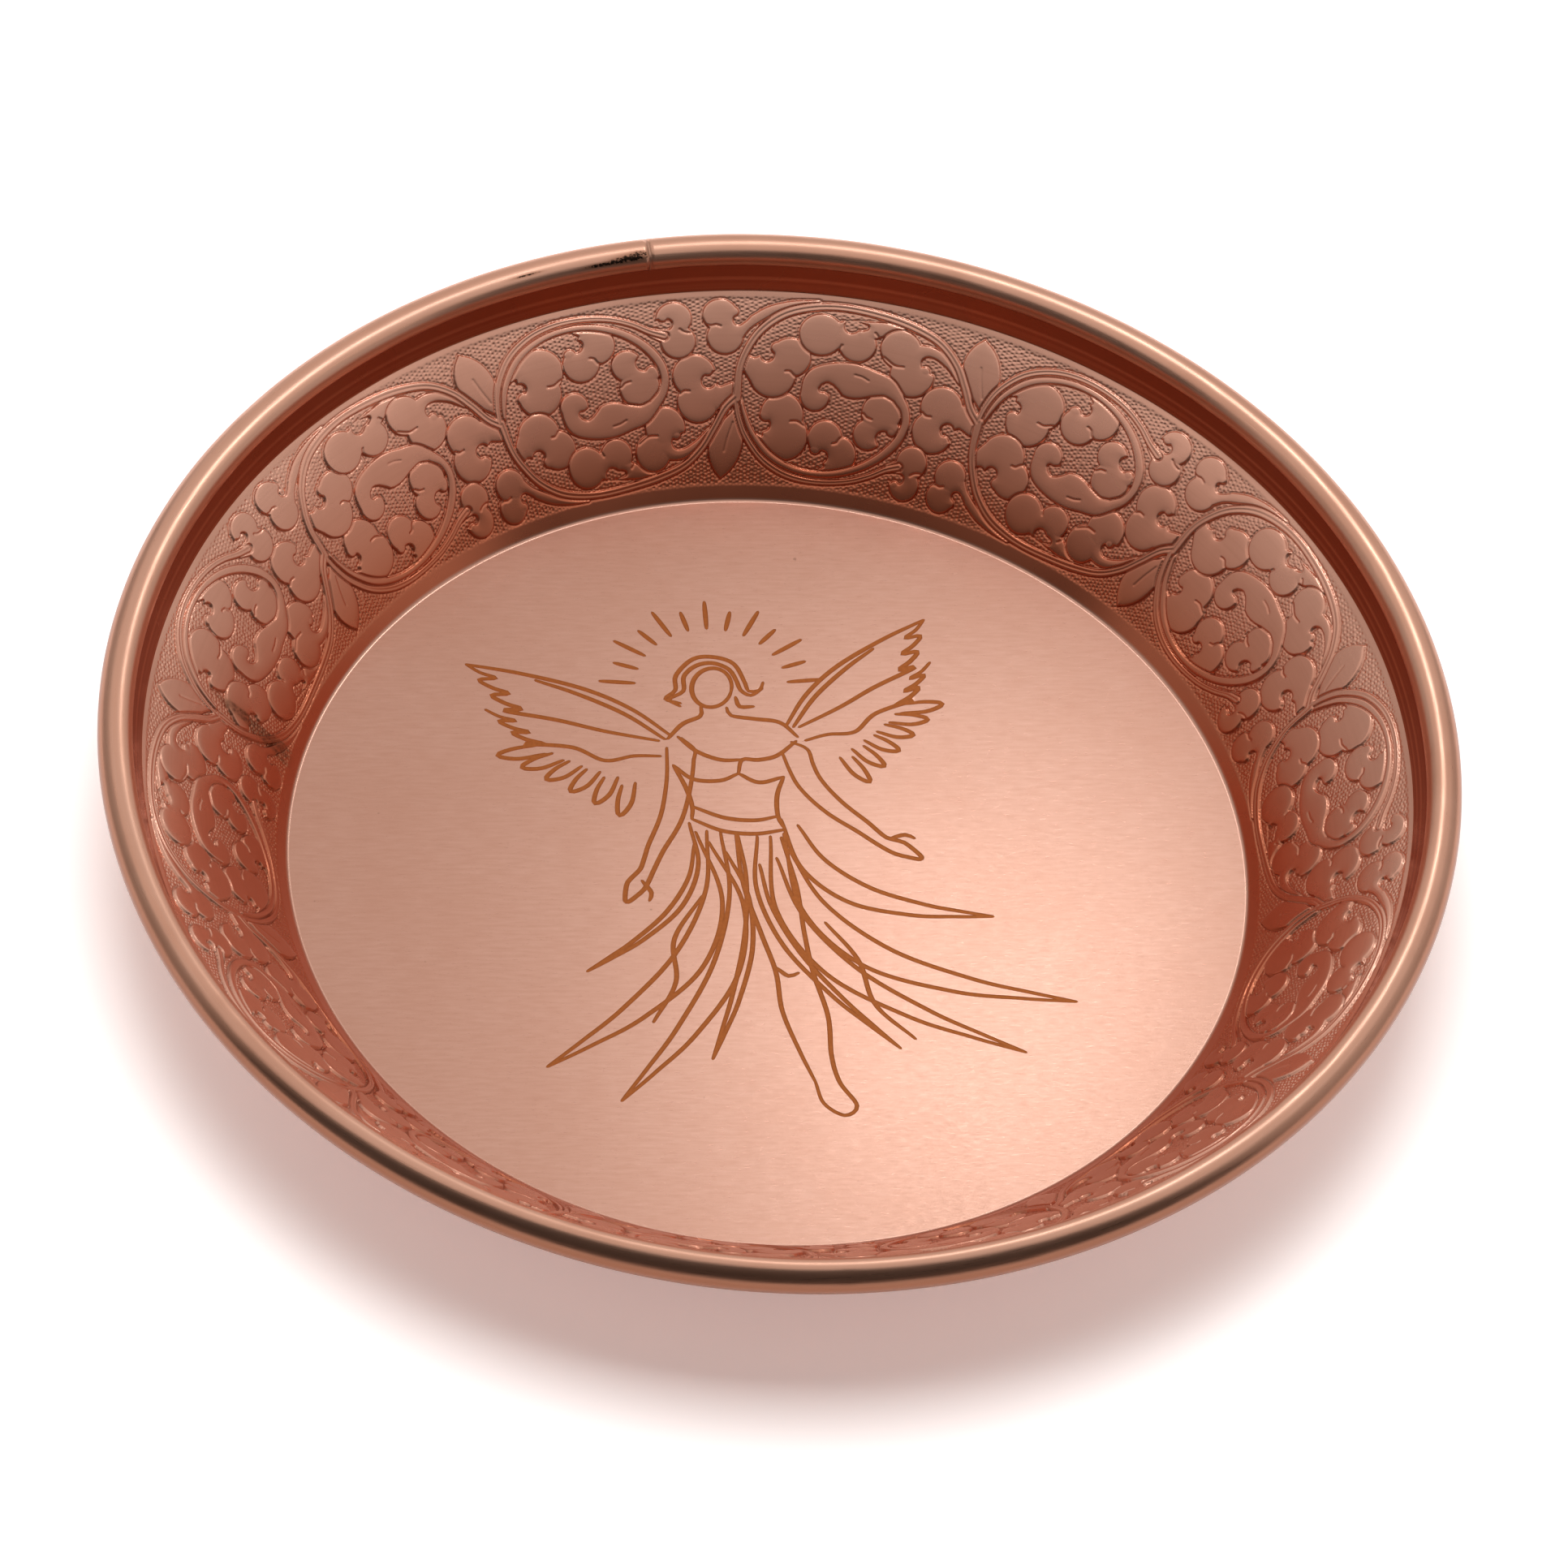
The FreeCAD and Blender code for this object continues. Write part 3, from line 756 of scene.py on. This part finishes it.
def make_tray_body(materials):
    """The pressed body as one closed skin: floor, wall, collar, lip and the whole outer face."""
    rng = np.random.default_rng(SEED)
    height, groove, soot = wall_relief(rng)
    skin = Skin()
    corner = arc(CORNER_CENTRE, CORNER_BEND, -90, WALL_ANGLE - 90, 8)[:-1]
    rings = skin.rings(corner, COARSE)
    floor_ring = rings[0]
    for row, climb in enumerate(np.linspace(0, 1, FINE_ROWS)):
        base = WALL_FOOT + (WALL_TOP - WALL_FOOT) * climb
        marks = np.column_stack([groove[row], np.full(FINE, climb), soot[row]])
        rings.append(pushed_ring(skin, base, height[row], FINE, marks))
    section = lip_section()
    plain = np.tile([0.0, COLLAR_MARK, 0.0], (MEDIUM, 1))
    rings += skin.rings(section, MEDIUM, plain)

    outer_top = section[-1]
    outer_foot = CORNER_CENTRE + (CORNER_BEND + GAUGE) * direction(WALL_ANGLE - 90)
    back = soften(height)
    for climb in np.linspace(1, 0, BACK_ROWS + 2)[1:]:
        base = outer_foot + (outer_top - outer_foot) * climb
        push = back[round(climb * (FINE_ROWS - 1)), ::2]
        rings.append(pushed_ring(skin, base, push, MEDIUM, np.tile([0.0, climb, 0.0], (MEDIUM, 1))))
    corner = arc(CORNER_CENTRE, CORNER_BEND + GAUGE, WALL_ANGLE - 90, -90, 6)[1:]
    rings += skin.rings(corner, SPARSE)
    for lower, upper in zip(rings[:-1], rings[1:]):
        skin.band(lower, upper)
    make_floor(skin, floor_ring)
    make_base(skin, rings[-1])
    return skin.build("tray_body_pressed", materials)


def soften(height):
    """The pattern as it shows on the back of the sheet: the same, shallower and blurred."""
    soft = height.copy()
    for size in (3, 3, 4, 4):
        for axis in (0, 1):
            soft = sum(np.roll(soft, k, axis=axis) for k in range(-size, size + 1)) / (2 * size + 1)
    edge = ease(np.arange(FINE_ROWS) / 12) * ease(np.arange(FINE_ROWS)[::-1] / 12)
    return soft * edge[:, None]


def make_base(skin, rim_ring):
    """The flat underside, as rings down to a point at the centre."""
    rings = [rim_ring] + skin.rings([(radius, 0.0) for radius in BASE_RINGS], SPARSE)
    for lower, upper in zip(rings[:-1], rings[1:]):
        skin.band(lower, upper, BASE_SLOT, False)
    last = rings[-1]
    centre = np.broadcast_to(skin.add_points([(0, 0, 0)]), len(last))
    skin.triangles(np.column_stack([centre, last, np.roll(last, -1)]), BASE_SLOT, False)


def strip_dents(azimuth, around):
    """How far in the dents and the slow waves press each place of the strip's outside."""
    rng = np.random.default_rng(SEED + 1)
    dent = np.zeros((len(azimuth), len(around)))
    for k in range(DENTS):
        where = rng.uniform(0, 360)
        tilt = rng.uniform(*DENT_TILT)
        wide = rng.uniform(*DENT_WIDTH)
        deep = rng.uniform(*DENT_DEPTH)
        away = turn_between(azimuth, where)[:, None] / wide
        dent = np.maximum(dent, deep * np.exp(-away ** 2 - ((around[None] - tilt) / DENT_HEIGHT) ** 2))
    wave = 1 + np.sin(np.radians(azimuth * 9)) * np.sin(np.radians(azimuth * 23 + 40))
    return dent + (RIM_WAVE * wave)[:, None] + RIM_SET_IN


def strip_soot(azimuth, around):
    """Where the strip is marked black beside the seam."""
    soot = np.zeros((len(azimuth), len(around)))
    for where, tilt, wide, high in RIM_MARKS:
        away = turn_between(azimuth, where)[:, None] / wide
        soot += np.exp(-away ** 2 - ((around[None] - tilt) / high) ** 2)
    return np.clip(soot, 0, 1)


def make_rim_strip(materials):
    """The capping strip with small dents and a slightly uneven surface, open at its seam."""
    azimuth = np.linspace(SEAM_AZIMUTH + SEAM_GAP / 2, SEAM_AZIMUTH + 360 - SEAM_GAP / 2, RIM_COLUMNS)
    turn = COLLAR_ANGLE + 90 + math.degrees(math.asin(STRIP_SKIRT / BEAD_RADIUS))
    touch = LIP_CENTRE + STRIP_INNER * direction(COLLAR_ANGLE + 90)
    skirt_end = touch - STRIP_SKIRT * direction(COLLAR_ANGLE)
    outer = arc(LIP_CENTRE, BEAD_RADIUS, turn, STRIP_END, 72)
    inner = arc(LIP_CENTRE, STRIP_INNER, STRIP_END, COLLAR_ANGLE + 90, 36) + [skirt_end]
    section = np.array(outer + inner)
    around = np.linspace(turn, STRIP_END, len(outer))

    points = np.repeat(section[None], RIM_COLUMNS, axis=0)
    outward = (section[:len(outer)] - LIP_CENTRE) / BEAD_RADIUS
    points[:, :len(outer)] -= outward[None] * strip_dents(azimuth, around)[..., None]
    angle = np.radians(azimuth)[:, None]
    radius, height = points[..., 0], points[..., 1]
    places = np.stack([radius * np.cos(angle), radius * np.sin(angle), height], axis=-1)
    marks = np.zeros((RIM_COLUMNS, len(section), 3))
    marks[:, :len(outer), 2] = strip_soot(azimuth, around)

    skin = Skin()
    index = skin.add_points(places.reshape(-1, 3), marks.reshape(-1, 3)).reshape(RIM_COLUMNS, -1)
    after = np.roll(index, -1, axis=1)
    quads = np.stack([index[:-1], after[:-1], after[1:], index[1:]], axis=-1).reshape(-1, 4)
    skin.faces.append((quads, 0, True))
    for end, flip in ((index[0], True), (index[-1], False)):
        skin.triangles(end_cap(end, len(outer), len(inner)), 0, False, flip)
    return skin.build("rim_strip_rolled", materials)


def end_cap(loop, outer_count, inner_count):
    """Triangles across the strip's C-shaped end, between its outer and inner arcs."""
    outer = loop[:outer_count]
    inner = loop[outer_count:][::-1]
    rows = []
    i = j = 0
    while i < outer_count - 1 or j < inner_count - 1:
        if j == inner_count - 1 or (i < outer_count - 1 and i * inner_count <= j * outer_count):
            rows.append((outer[i], outer[i + 1], inner[j]))
            i += 1
        else:
            rows.append((outer[i], inner[j + 1], inner[j]))
            j += 1
    return np.array(rows)


# -------- materials

class Finish:
    """A node material with short calls for the nodes that this scene uses."""

    def __init__(self, name):
        self.material = bpy.data.materials.new(name)
        self.material.use_nodes = True
        self.tree = self.material.node_tree
        self.shader = self.tree.nodes["Principled BSDF"]
        self.place = self.tree.nodes.new("ShaderNodeTexCoord").outputs["Object"]

    def node(self, kind, inputs=(), **settings):
        made = self.tree.nodes.new(kind)
        for name, value in settings.items():
            setattr(made, name, value)
        for name, value in dict(inputs).items():
            self.plug(made.inputs[name], value)
        return made

    def plug(self, socket, value):
        if isinstance(value, bpy.types.NodeSocket):
            self.tree.links.new(value, socket)
        else:
            socket.default_value = value

    def set(self, name, value):
        self.plug(self.shader.inputs[name], value)

    def vector(self, operation, inputs):
        return self.node("ShaderNodeVectorMath", inputs, operation=operation).outputs

    def mapped(self, scale, turn):
        """A place turned about the tray's axis, then stretched."""
        rotation = (0, 0, math.radians(turn))
        turned = self.node("ShaderNodeMapping", {"Vector": self.place, "Rotation": rotation}).outputs[0]
        return self.node("ShaderNodeMapping", {"Vector": turned, "Scale": scale}).outputs[0]

    def noise(self, scale, detail=3.0, roughness=0.55, vector=None):
        inputs = {"Vector": vector or self.place, "Scale": scale, "Detail": detail}
        return self.node("ShaderNodeTexNoise", {**inputs, "Roughness": roughness}).outputs["Fac"]

    def fit(self, value, low, high, out_low=0.0, out_high=1.0):
        return self.node("ShaderNodeMapRange", {"Value": value, "From Min": low, "From Max": high,
                                                "To Min": out_low, "To Max": out_high}).outputs["Result"]

    def cover(self, tone, colour, value, low, high, most=1.0):
        """The colour over the tone, from none at the low value to most at the high one."""
        inputs = {"Factor": self.fit(value, low, high, 0.0, most)}
        for name, layer in (("A", tone), ("B", colour)):
            inputs[name] = layer if isinstance(layer, bpy.types.NodeSocket) else (*layer, 1.0)
        return self.node("ShaderNodeMix", inputs, data_type="RGBA").outputs["Result"]

    def mark(self, name):
        return self.node("ShaderNodeAttribute", attribute_name=name).outputs["Fac"]

    def metal(self, tone, roughness, grain, strength):
        """Makes the material metal with a fine bump, and gives it back."""
        self.set("Base Color", tone)
        self.set("Metallic", 1.0)
        self.set("Roughness", roughness)
        bump = {"Height": grain, "Strength": strength, "Distance": BUMP_HEIGHT}
        self.set("Normal", self.node("ShaderNodeBump", bump).outputs["Normal"])
        return self.material


COPPER = (0.90, 0.54, 0.41)
COPPER_DIM = (0.78, 0.44, 0.33)
# Painted shade and painted light: the wall's copper is darker towards its foot and lighter towards its
# top, in place of the interreflection and sky light that fall on it.
WALL_FOOT_PAINTED_SHADE = (0.64, 0.185, 0.095)
WALL_TOP_PAINTED_LIGHT = (0.96, 0.50, 0.36)
WALL_CLOUD = (0.50, 0.18, 0.10)
WALL_GROOVE = (0.40, 0.13, 0.07)
# Painted shade: the collar's copper, and the lighter bands round it, are darkened in place of the dark
# interreflection that the collar shows.
COLLAR_PAINTED_SHADE = (0.42, 0.12, 0.06)
COLLAR_SHADED_BAND = (0.62, 0.23, 0.13)
RIM_COPPER = (0.84, 0.43, 0.29)
RIM_PALE = (0.83, 0.45, 0.315)
RIM_CLOUD = (0.66, 0.30, 0.19)
RIM_OUTER_SHADE = (0.26, 0.105, 0.06)  # painted shade on the rim's outer side, in place of the dark reflection of the shadowed table
SOOT = (0.035, 0.02, 0.014)
BURNT = (0.42, 0.17, 0.09)
FLOOR_COPPER = (0.68, 0.35, 0.25)
FLOOR_PALE = (0.74, 0.40, 0.295)
FLOOR_CLOUD = (0.66, 0.325, 0.225)
FLOOR_SPECK = (0.30, 0.13, 0.08)
ETCHED = (0.52, 0.155, 0.042)
ETCHED_DIM = (0.44, 0.13, 0.036)
SOLDER = (0.80, 0.44, 0.31)
SOLDER_DIM = (0.62, 0.33, 0.23)
STEEL = (0.34, 0.32, 0.30)
STEEL_DIM = (0.22, 0.20, 0.19)
GRAIN_TURN = -8.3  # degrees: the brushed grain leans a little from the X axis
BUMP_HEIGHT = 0.0001  # metres


def sooty(finish, tone, low=0.5, high=0.75):
    """Lays irregular black marks, with a burnt edge, over a colour where the mesh is marked."""
    soot = finish.mark("soot")
    ragged = finish.fit(finish.noise(1300.0, 5.0, 0.8), 0.35, 0.65, 0.2, 1.7)
    mask = finish.node("ShaderNodeMath", {0: soot, 1: ragged}, operation="MULTIPLY").outputs[0]
    burnt = finish.cover(tone, BURNT, soot, 0.02, 0.5, 0.6)
    return finish.cover(burnt, SOOT, mask, low, high)


def axis_distance(finish):
    """The distance from the tray's axis."""
    flat = finish.vector("MULTIPLY", {0: finish.place, 1: (1, 1, 0)})[0]
    return finish.vector("LENGTH", {0: flat})["Value"]


def round_the_ring(finish, scale, stretch=40):
    """A place that changes fast across the rim and slowly along it."""
    height = finish.node("ShaderNodeSeparateXYZ", {0: finish.place}).outputs["Z"]
    across = finish.node("ShaderNodeCombineXYZ", {0: axis_distance(finish), 1: height}).outputs[0]
    wide = finish.vector("SCALE", {0: across, "Scale": scale})[0]
    slow = finish.vector("SCALE", {0: finish.place, "Scale": scale / stretch})[0]
    return finish.vector("ADD", {0: wide, 1: slow})[0]


def embossed_copper():
    """The wall, with painted shade towards its foot and painted light towards its top, and the banded
    collar above it, darkened with painted shade.
    """
    finish = Finish("embossed_copper")
    climb = finish.mark("climb")
    cloud = finish.noise(45.0, 4.0)
    fine = finish.noise(900.0, 3.0)
    streak = finish.noise(1.0, 3.0, vector=round_the_ring(finish, 1600.0))
    banding = finish.noise(1.0, 2.0, vector=round_the_ring(finish, 620.0, 400))
    # Painted shade at the wall's foot and painted light at its top, graded by height up the wall.
    tone = finish.cover(WALL_FOOT_PAINTED_SHADE, WALL_TOP_PAINTED_LIGHT, climb, 0.15, 0.95)
    tone = finish.cover(FLOOR_PALE, tone, climb, 0.0, 0.012)
    tone = finish.cover(tone, WALL_CLOUD, cloud, 0.35, 0.75, 0.2)
    tone = finish.cover(tone, WALL_CLOUD, streak, 0.45, 0.75, 0.1)
    # The collar: banded copper, darkened as painted shade.
    collar = finish.cover(COLLAR_PAINTED_SHADE, COLLAR_SHADED_BAND, banding, 0.48, 0.66)
    tone = finish.cover(tone, collar, climb, 1.0, COLLAR_MARK)
    tone = finish.cover(tone, WALL_GROOVE, finish.mark("groove"), 0.4, 1.1, 0.35)
    tone = sooty(finish, tone, 0.25, 1.5)
    return finish.metal(tone, finish.fit(cloud, 0.3, 0.7, 0.25, 0.31), fine, 0.012)


def brushed_floor():
    """The flat floor, with a brushed grain across it."""
    finish = Finish("brushed_copper")
    streak = finish.noise(3.0, 5.0, vector=finish.mapped((70, 520, 1), GRAIN_TURN))
    hair = finish.noise(3.0, 3.0, vector=finish.mapped((150, 2600, 1), GRAIN_TURN))
    cloud = finish.noise(34.0, 5.0, 0.65)
    speck = finish.noise(420.0, 2.0, 0.5)
    tone = finish.cover(FLOOR_COPPER, FLOOR_PALE, streak, 0.3, 0.7)
    tone = finish.cover(tone, FLOOR_CLOUD, cloud, 0.42, 0.75, 0.45)
    tone = finish.cover(tone, FLOOR_SPECK, speck, 0.78, 0.82, 0.5)
    return finish.metal(tone, finish.fit(hair, 0.3, 0.7, 0.27, 0.38), hair, 0.10)


def etched_line():
    """The dull grooves of the engraving."""
    finish = Finish("etched_copper")
    grain = finish.noise(1500.0, 3.0)
    return finish.metal(finish.cover(ETCHED, ETCHED_DIM, grain, 0.3, 0.7), 0.5, grain, 0.05)


def rim_copper():
    """The rim strip, scratched along its length, with painted shade on its outer side."""
    finish = Finish("rim_copper")
    streak = finish.noise(1.0, 4.0, vector=round_the_ring(finish, 700.0))
    scratch = finish.noise(1.0, 2.0, vector=round_the_ring(finish, 5200.0))
    cloud = finish.noise(38.0, 4.0)
    tone = finish.cover(RIM_PALE, RIM_COPPER, streak, 0.35, 0.7)
    tone = finish.cover(tone, RIM_CLOUD, cloud, 0.5, 0.75, 0.5)
    # Painted shade: the rim gets darker towards its outer side, in place of the dark reflection of the
    # shadowed table.
    shade_from = (RING_RADIUS + 0.35 * BEAD_RADIUS) * MM
    shade_to = (RING_RADIUS + BEAD_RADIUS) * MM
    tone = finish.cover(tone, RIM_OUTER_SHADE, axis_distance(finish), shade_from, shade_to)
    return finish.metal(sooty(finish, tone), finish.fit(scratch, 0.3, 0.7, 0.27, 0.37), scratch, 0.03)


def plain_metal(name, tone_a, tone_b, low, high):
    """Metal with clouded colour and a fine uneven gloss, for the parts that show little."""
    finish = Finish(name)
    cloud = finish.noise(30.0, 4.0)
    fine = finish.noise(700.0, 3.0)
    tone = finish.cover(tone_a, tone_b, cloud, 0.35, 0.7)
    return finish.metal(tone, finish.fit(fine, 0.3, 0.7, low, high), fine, 0.02)


# -------- stage, light and camera

TABLE_REACH = 4.0  # metres from the middle to each side
TABLE_DROP = 0.05  # the table is a hair below the base, so that the two faces don't coincide


def make_stage():
    """A plain pale table."""
    size = TABLE_REACH
    level = -TABLE_DROP * MM
    corners = [(-size, -size, level), (size, -size, level), (size, size, level), (-size, size, level)]
    mesh = bpy.data.meshes.new("table")
    mesh.from_pydata(corners, [], [(0, 1, 2, 3)])
    finish = Finish("pale_table")
    finish.set("Base Color", (0.92, 0.91, 0.91, 1))
    finish.set("Roughness", 0.9)
    finish.set("Specular IOR Level", 0.0)
    finish.set("Emission Color", (1.0, 0.92, 0.90, 1))  # in place of light bounced by the tray
    finish.set("Emission Strength", 0.29)
    mesh.materials.append(finish.material)
    table = new_object("table", mesh)


# The tray stands in a tent of soft panels with no wall, and so a dark side, towards the camera. Each
# panel: centre, width and height in metres, brightness, the point that it faces, and a tint of its own.
TENT_TOP = 0.33
WARM = (1.0, 0.985, 0.975)
COOL = (0.86, 1.0, 1.08)
PANELS = {
    "ceiling": ((0, 0.175, TENT_TOP), (0.80, 0.55), 0.60, (0, 0.175, 0)),
    "front": ((0, -0.215, TENT_TOP), (0.80, 0.23), 0.31, (0, -0.215, 0)),
    "back_wall": ((0, 0.46, 0.17), (0.80, 0.32), 0.55, (0, 0, 0.17)),
    "left_wall": ((-0.42, 0.15, 0.17), (0.60, 0.32), 0.35, (0, 0.15, 0.17)),
    "right_wall": ((0.42, 0.15, 0.17), (0.60, 0.32), 0.45, (0, 0.15, 0.17)),
    "lamp": ((0.05, 0.215, 0.32), (0.08, 0.08), 5.5, (0.05, 0.215, 0), COOL),
    "table_wash": ((-0.05, 0.0, 1.2), (0.70, 0.70), 9.0, (0, 0, 0)),
}
# Some panels light only these pieces, so that the shadow and the near rim stay as dark as they are.
LIT_BY = {
    "table_wash": ["table"],
    "front": ["tray_body_pressed"],
    "lamp": ["tray_body_pressed", "rim_strip_rolled"],
}
ROOM = (0.075, 0.072, 0.070)


def add_panel(name, place, size, brightness, target, tint=WARM):
    """A panel that gives light and shows in the metal, but not to the camera."""
    lamp = bpy.data.lights.new(name, "AREA")
    lamp.shape = "RECTANGLE"
    lamp.size, lamp.size_y = size
    lamp.energy = brightness * math.pi * size[0] * size[1]
    lamp.color = tint
    holder = new_object(name, lamp)
    holder.location = place
    holder.rotation_euler = (Vector(target) - Vector(place)).to_track_quat("-Z", "Y").to_euler()
    holder.visible_camera = False
    return holder


def make_light():
    """A dim room and the panels."""
    world = bpy.data.worlds.new("studio")
    bpy.context.scene.world = world
    world.use_nodes = True
    world.node_tree.nodes["Background"].inputs["Color"].default_value = (*ROOM, 1)
    panels = {name: add_panel(name, *panel) for name, panel in PANELS.items()}
    for name, pieces in LIT_BY.items():
        lit = bpy.data.collections.new("lit_by_" + name)
        for piece in pieces:
            lit.objects.link(bpy.data.objects[piece])
        panels[name].light_linking.receiver_collection = lit


CAMERA_DISTANCE = 2.517  # metres
CAMERA_ELEVATION = 50.449
CAMERA_ROLL = 6.454
CAMERA_PAN = -0.0278
CAMERA_TILT = -0.3475
CAMERA_LENS = 312.9  # millimetres


def make_camera():
    """The camera looks at the floor's centre, then pans, tilts and rolls by small angles."""
    up_angle = math.radians(CAMERA_ELEVATION)
    target = Vector((0, 0, GAUGE * MM))
    place = target + CAMERA_DISTANCE * Vector((0, -math.cos(up_angle), math.sin(up_angle)))
    forward = (target - place).normalized()
    right = Vector((1, 0, 0))
    above = right.cross(forward)
    rows = Matrix((right, above, forward))
    for angle, axis in ((CAMERA_PAN, "Y"), (-CAMERA_TILT, "X"), (-CAMERA_ROLL, "Z")):
        rows = Matrix.Rotation(math.radians(angle), 3, axis) @ rows
    lens = bpy.data.cameras.new("camera")
    lens.lens = CAMERA_LENS
    lens.sensor_width = 36.0
    lens.clip_end = 20.0
    camera = new_object("camera", lens)
    turned = Matrix((rows[0], rows[1], -rows[2])).transposed()
    camera.matrix_world = Matrix.Translation(place) @ turned.to_4x4()
    bpy.context.scene.camera = camera


# -------- the scene

bpy.context.scene.view_settings.view_transform = "Standard"
body = make_tray_body([embossed_copper(), brushed_floor(), etched_line(),
                       plain_metal("underside_copper", COPPER, COPPER_DIM, 0.30, 0.42)])
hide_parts("tray_body")
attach(body, "root")

strip = make_rim_strip([rim_copper()])
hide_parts("rim_strip")
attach(strip, "root")

cad_finishes = {
    "rim_seam_solder": plain_metal("seam_solder", SOLDER, SOLDER_DIM, 0.28, 0.40),
    "rim_wire": plain_metal("drawn_wire", STEEL, STEEL_DIM, 0.35, 0.5),
}
for name, material in cad_finishes.items():
    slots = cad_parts[name].data.materials
    slots.clear()
    slots.append(material)

make_stage()
make_light()
make_camera()
